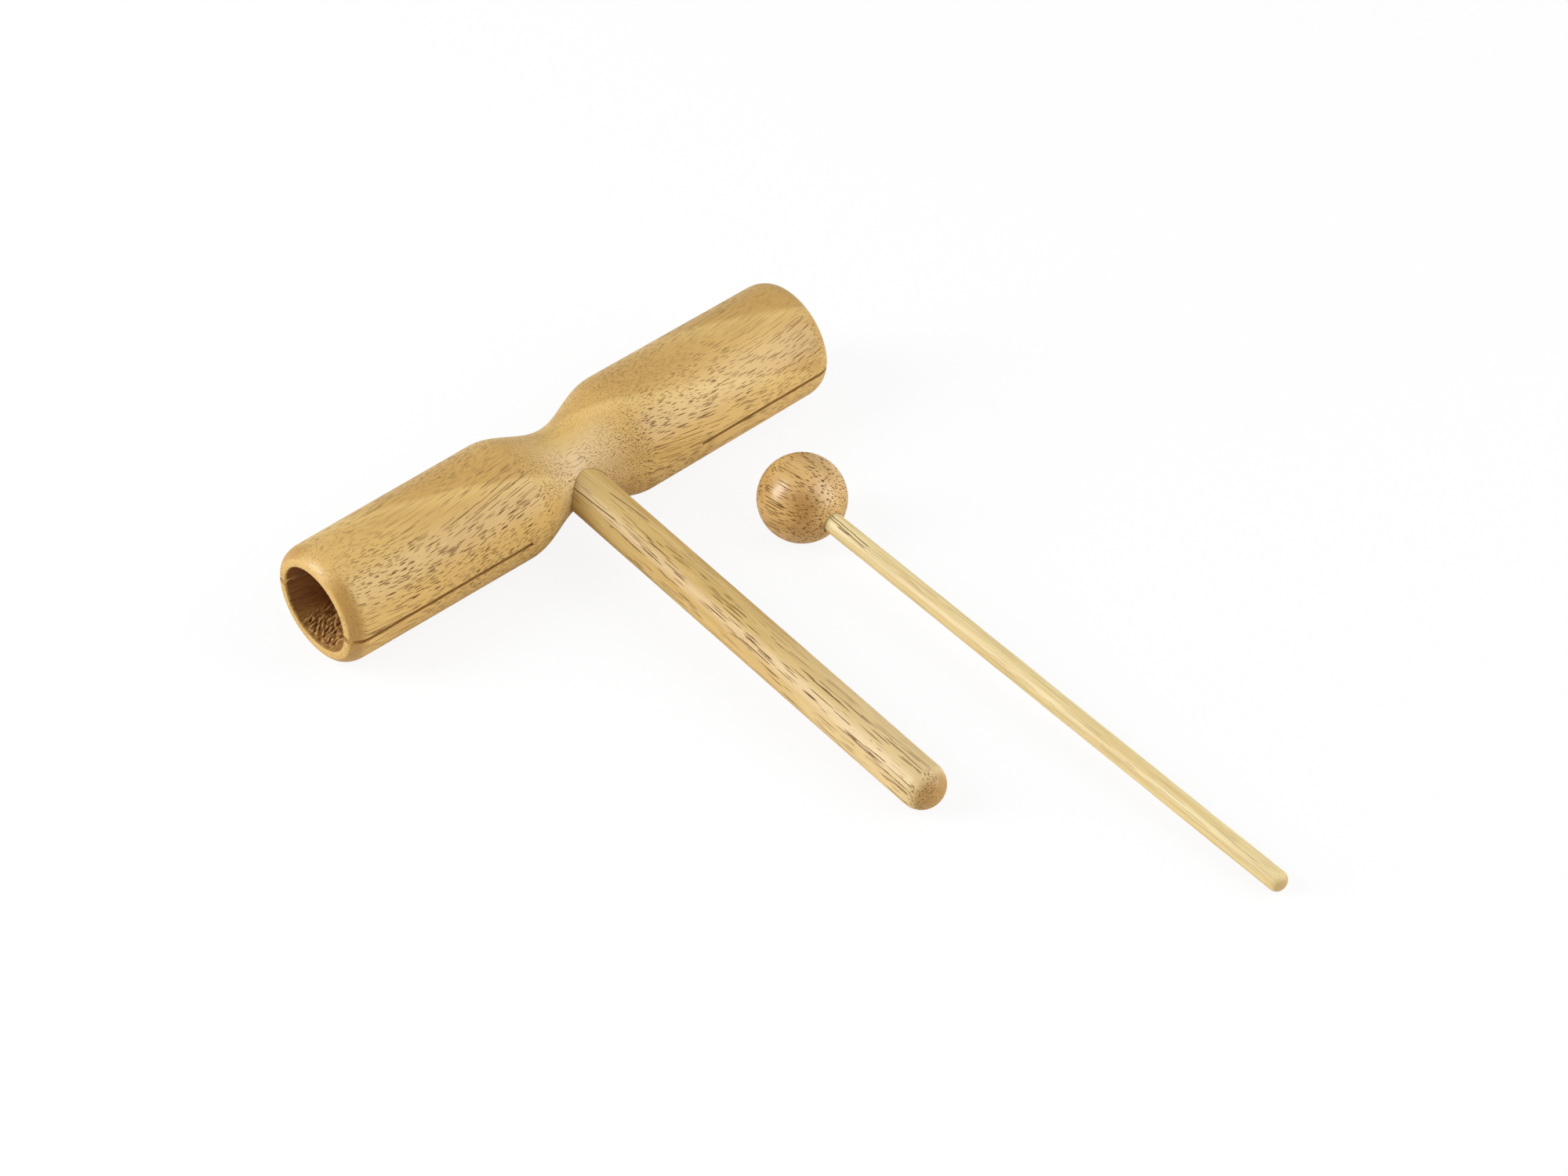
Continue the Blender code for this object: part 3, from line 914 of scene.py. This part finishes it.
def body_wood():
    """Turned rubberwood under satin lacquer: golden tan, dark vessel dashes, raw in the bores."""
    material, tree = new_material("rubberwood_satin_body")
    own, lines = wood_coordinates(tree, BODY_PLACE, BODY_LEAN, wander=0.3)
    lines = swing(tree, lines)
    spot = body_spot(tree, own)
    fibres = stretched_noise(tree, lines, width=0.40, length=14.0, detail=3.0)
    pores = vessels(tree, lines, spacing=0.36, width=0.215, share=0.80, length=7.0)
    outside, shown = body_outside(tree, own, lines, spot, fibres, pores)
    bored, bore = bore_wall(tree, spot, fibres, pores, outside)
    colour, kerf = kerf_wall(tree, spot, bored)
    raw = add_node(tree, MATH, {0: bore, 1: kerf}, operation="MAXIMUM").outputs[0]
    bare = add_node(tree, MATH, {0: raw, 1: shown}, operation="MAXIMUM").outputs[0]
    height = grooves(tree, shown, fibres, share=0.2)
    lacquer(tree, colour, bare, height, depth=0.10, roughness=0.42, coat=0.28, coat_roughness=0.32)
    return material


def end_grain(tree, own, start, colour, hex_colour):
    """Browner wood where a dowel's rounded end cuts across the fibres."""
    along = add_node(tree, "ShaderNodeSeparateXYZ", {0: own}).outputs["X"]
    across = mask(tree, (along, start / MM, (start + END_GRAIN_DEPTH) / MM))
    return tint(tree, colour, hex_colour, across, END_GRAIN_SHARE)


def handle_wood():
    """Rubberwood dowel under satin lacquer: long open vessels along a paler golden stem."""
    material, tree = new_material("rubberwood_satin_handle")
    own, lines = wood_coordinates(tree, HANDLE_PLACE, HANDLE_LEAN, wander=0.6)
    split = add_node(tree, "ShaderNodeSeparateXYZ", {0: own}).outputs
    clouds = stretched_noise(tree, lines, width=5.0, length=70.0, detail=2.0)
    base = tint(tree, "#D4B576", "#C4A15E", mask(tree, (clouds, *NOISE_SPAN)))
    fibres = stretched_noise(tree, lines, width=0.40, length=20.0, detail=3.0)
    streaked = fibred(tree, base, fibres, "#AC8446", "#ECD096")
    # Paler towards the free end
    paled = tint(tree, streaked, "#EEDAAE", mask(tree, (split["X"], 80.0, 170.0)), 0.4)
    capped = end_grain(tree, own, HANDLE_REACH - HANDLE_END_ROUND * 0.7, paled, "#AA7C34")
    pores = vessels(tree, lines, spacing=0.45, width=0.26, share=0.80, length=10.0)
    patches = stretched_noise(tree, lines, width=4.0, length=16.0, detail=1.0)
    ways = [
        # Next to the body only a few long vessels are open
        (split["X"], 25.0, 50.0, 0.3, 1.0),
        # Fewer show on the side away from the near barrel
        (split["Y"], -2.0, 4.0, 1.0, 0.4),
    ]
    fine = thinned(tree, together(tree, pores, mask(tree, (patches, 0.30, 0.50))), ways)
    long = long_vessels(tree, own, HANDLE_RADIUS, HANDLE_VESSELS)
    shown = add_node(tree, MATH, {0: fine, 1: long}, operation="MAXIMUM").outputs[0]
    colour = tint(tree, capped, "#5E3600", shown, 0.97)
    height = grooves(tree, shown, fibres, share=0.25)
    lacquer(tree, colour, shown, height, depth=0.12, roughness=0.42, coat=0.18, coat_roughness=0.32)
    return material


def head_wood():
    """Turned rubberwood ball under glossier lacquer: browner, with end grain dots round the stick."""
    material, tree = new_material("rubberwood_satin_ball")
    own, lines = wood_coordinates(tree, BEATER_PLACE, HEAD_LEAN, wander=0.4)
    # Its vessels are cut slantwise into ribbons, deeper than wide
    ribbons = add_node(
        tree,
        "ShaderNodeMapping",
        {"Vector": lines, "Rotation": (0.0, 0.0, RIBBON_TURN), "Scale": (RIBBON_DEPTH, 1.0, 1.0)},
        vector_type="TEXTURE",
    ).outputs[0]
    clouds = stretched_noise(tree, lines, width=8.0, length=26.0, detail=2.0)
    base = tint(tree, "#DAB272", "#C29A58", mask(tree, (clouds, *NOISE_SPAN)))
    # One upright band is darker in the upper half: partly a growth layer, partly painted shade between the
    # two softbox highlights
    layer = add_node(tree, VECTOR_MATH, {0: own, 1: BALL_LAYER_AND_SHADE}, operation="DOT_PRODUCT").outputs["Value"]
    off_dark_band = add_node(tree, MATH, {0: layer}, operation="ABSOLUTE").outputs[0]
    up = add_node(tree, "ShaderNodeSeparateXYZ", {0: own}).outputs["Z"]
    dark_layer_and_shade = mask(tree, (off_dark_band, 8.0, 0.5), (up, 15.0, 10.0), (up, -4.0, 6.0))
    layered_and_shaded = tint(tree, base, "#9C6A20", dark_layer_and_shade, 0.7)
    fibres = stretched_noise(tree, lines, width=0.45, length=10.0, detail=3.0)
    streaked = fibred(tree, layered_and_shaded, fibres, "#8F652C", "#DDB875")
    pores = vessels(tree, ribbons, spacing=0.48, width=0.25, share=0.95, length=14.0)
    colour = tint(tree, streaked, "#663C00", pores, 0.96)
    height = grooves(tree, pores, fibres, share=0.2)
    lacquer(tree, colour, pores, height, depth=0.10, roughness=0.42, coat=0.7, coat_roughness=0.25)
    return material


def stick_wood():
    """Straight-grained pale hardwood dowel under thin lacquer: straw, with fine streaks."""
    material, tree = new_material("pale_hardwood_dowel")
    own, lines = wood_coordinates(tree, BEATER_PLACE, STICK_LEAN, wander=0.5)
    clouds = stretched_noise(tree, lines, width=2.2, length=60.0, detail=2.0)
    base = tint(tree, "#EAD7A2", "#DBC288", mask(tree, (clouds, *NOISE_SPAN)))
    fibres = stretched_noise(tree, lines, width=0.35, length=18.0, detail=3.0)
    streaked = fibred(tree, base, fibres, "#C0994F", "#F6E6B8")
    capped = end_grain(tree, own, STICK_REACH - STICK_END_ROUND * 0.8, streaked, "#AE8C58")
    pores = vessels(tree, lines, spacing=0.50, width=0.24, share=0.85, length=14.0)
    faint = together(tree, pores, 0.32)
    # The few dark vessels of this dowel open near the ball
    dark = long_vessels(tree, own, STICK_RADIUS, STICK_VESSELS)
    shown = add_node(tree, MATH, {0: faint, 1: dark}, operation="MAXIMUM").outputs[0]
    colour = tint(tree, capped, "#4E2C0C", shown, 0.9)
    height = grooves(tree, shown, fibres, share=0.12)
    lacquer(tree, colour, shown, height, depth=0.10, roughness=0.44, coat=0.16, coat_roughness=0.28)
    return material


# Pieces

def make_body():
    """The hourglass, bored, torn, sawn and drilled."""
    material = body_wood()
    body = spin("turned_body", body_profile(), material, sanding_depth=0.00008, sanding_length=0.022)
    put_tree(body, sawing_tree(), {**SAWING_SIZES, "Material": material})
    settle(body, BODY_PLACE)
    return body


def make_handle():
    """The dowel handle with its domed end."""
    profile = dowel_profile(HANDLE_START, HANDLE_REACH, HANDLE_RADIUS, HANDLE_END_ROUND, RING_STEP)
    handle = spin("handle_dowel", profile, handle_wood(), sanding_depth=0.00006, sanding_length=0.016)
    settle(handle, HANDLE_PLACE)
    return handle


def make_head():
    """The beater's ball."""
    head = spin("beater_ball", head_profile(), head_wood(), sanding_depth=0.00006, sanding_length=0.015)
    settle(head, BEATER_PLACE)
    return head


def make_stick():
    """The beater's thin dowel."""
    profile = dowel_profile(STICK_START, STICK_REACH, STICK_RADIUS, STICK_END_ROUND, RING_STEP)
    stick = spin("beater_dowel", profile, stick_wood(), sanding_depth=0.00022, sanding_length=0.010)
    settle(stick, BEATER_PLACE)
    return stick


def place_piece(piece, body, node):
    """Tie a finished piece to its body, and hide its node."""
    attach(piece, body)
    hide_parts(node)


# Stage

def make_floor():
    """Pale matt table: white to the eye with a soft shadow, and cream in the light it throws back."""
    material, tree = new_material("matt_white_table")
    seen = add_node(tree, "ShaderNodeLightPath").outputs["Is Camera Ray"]
    shade = tint(tree, "#EEE4D0", "#F7F7F7", seen)
    matt = add_node(tree, "ShaderNodeBsdfDiffuse", {"Color": shade})
    glow = add_node(tree, "ShaderNodeEmission", {"Color": linear("#FFFFFF"), "Strength": 1.0})
    # Farther off the table fades into the white behind it
    spot = add_node(tree, "ShaderNodeTexCoord").outputs["Object"]
    away = add_node(tree, VECTOR_MATH, {0: spot}, operation="LENGTH").outputs["Value"]
    fading = {"Value": away, "From Min": GLOW_START, "From Max": GLOW_FULL, "To Min": FLOOR_GLOW}
    glowing = add_node(tree, "ShaderNodeMapRange", fading).outputs["Result"]
    share = together(tree, seen, glowing)
    both = add_node(tree, "ShaderNodeMixShader", {0: share, 1: matt.outputs[0], 2: glow.outputs[0]})
    add_node(tree, "ShaderNodeOutputMaterial", {"Surface": both.outputs[0]})
    mesh = bpy.data.meshes.new("table")
    corners = [(x * FLOOR_HALF, y * FLOOR_HALF, 0) for x, y in ((-1, -1), (1, -1), (1, 1), (-1, 1))]
    mesh.from_pydata(corners, [], [(0, 1, 2, 3)])
    mesh.materials.append(material)
    table = bpy.data.objects.new("table", mesh)
    bpy.context.scene.collection.objects.link(table)


def make_world():
    """White tent: white to the eye, and a mild fill on the wood that comes mostly from the right."""
    world = bpy.data.worlds.new("white_tent")
    world.use_nodes = True
    tree = world.node_tree
    tree.nodes.clear()
    seen = add_node(tree, "ShaderNodeLightPath").outputs["Is Camera Ray"]
    way = add_node(tree, "ShaderNodeTexCoord").outputs["Generated"]
    toward = add_node(tree, VECTOR_MATH, {0: way, 1: FILL_SIDE}, operation="DOT_PRODUCT").outputs["Value"]
    filling = {"Value": toward, "To Min": FILL_DIM, "To Max": FILL_BRIGHT}
    fill = add_node(tree, "ShaderNodeMapRange", filling).outputs["Result"]
    strength = add_node(tree, MATH, {0: seen, 1: fill}, operation="MAXIMUM").outputs[0]
    sky = add_node(tree, "ShaderNodeBackground", {"Color": linear("#FFFFFF"), "Strength": strength})
    add_node(tree, "ShaderNodeOutputWorld", {"Surface": sky.outputs[0]})
    bpy.context.scene.world = world


def make_softbox(name, direction, size, strength):
    """Upright softbox that faces the object from a distance."""
    light = bpy.data.lights.new(name, "AREA")
    light.shape = "RECTANGLE"
    light.size = size[0]
    light.size_y = size[1]
    light.energy = strength
    lamp = bpy.data.objects.new(name, light)
    way = Vector(direction).normalized()
    lamp.location = Vector(SOFTBOX_AIM) + way * SOFTBOX_DISTANCE
    lamp.rotation_euler = way.to_track_quat("Z", "Y").to_euler()
    bpy.context.scene.collection.objects.link(lamp)


def make_camera():
    """Camera at the photograph's place."""
    data = bpy.data.cameras.new("camera")
    data.lens = CAMERA_LENS
    data.sensor_width = CAMERA_SENSOR
    camera = bpy.data.objects.new("camera", data)
    camera.location = CAMERA_PLACE
    camera.rotation_euler = CAMERA_TURN
    bpy.context.scene.collection.objects.link(camera)
    bpy.context.scene.camera = camera


TURNING = turning_tree()
place_piece(make_body(), "tone_block", "block_body")
place_piece(make_handle(), "tone_block", "handle")
place_piece(make_head(), "beater", "beater_head")
place_piece(make_stick(), "beater", "beater_stick")
make_floor()
make_world()
make_softbox("left_softbox", LEFT_SOFTBOX, LEFT_SIZE, LEFT_STRENGTH)
make_softbox("right_softbox", RIGHT_SOFTBOX, RIGHT_SIZE, RIGHT_STRENGTH)
make_camera()
bpy.context.scene.view_settings.view_transform = "Standard"
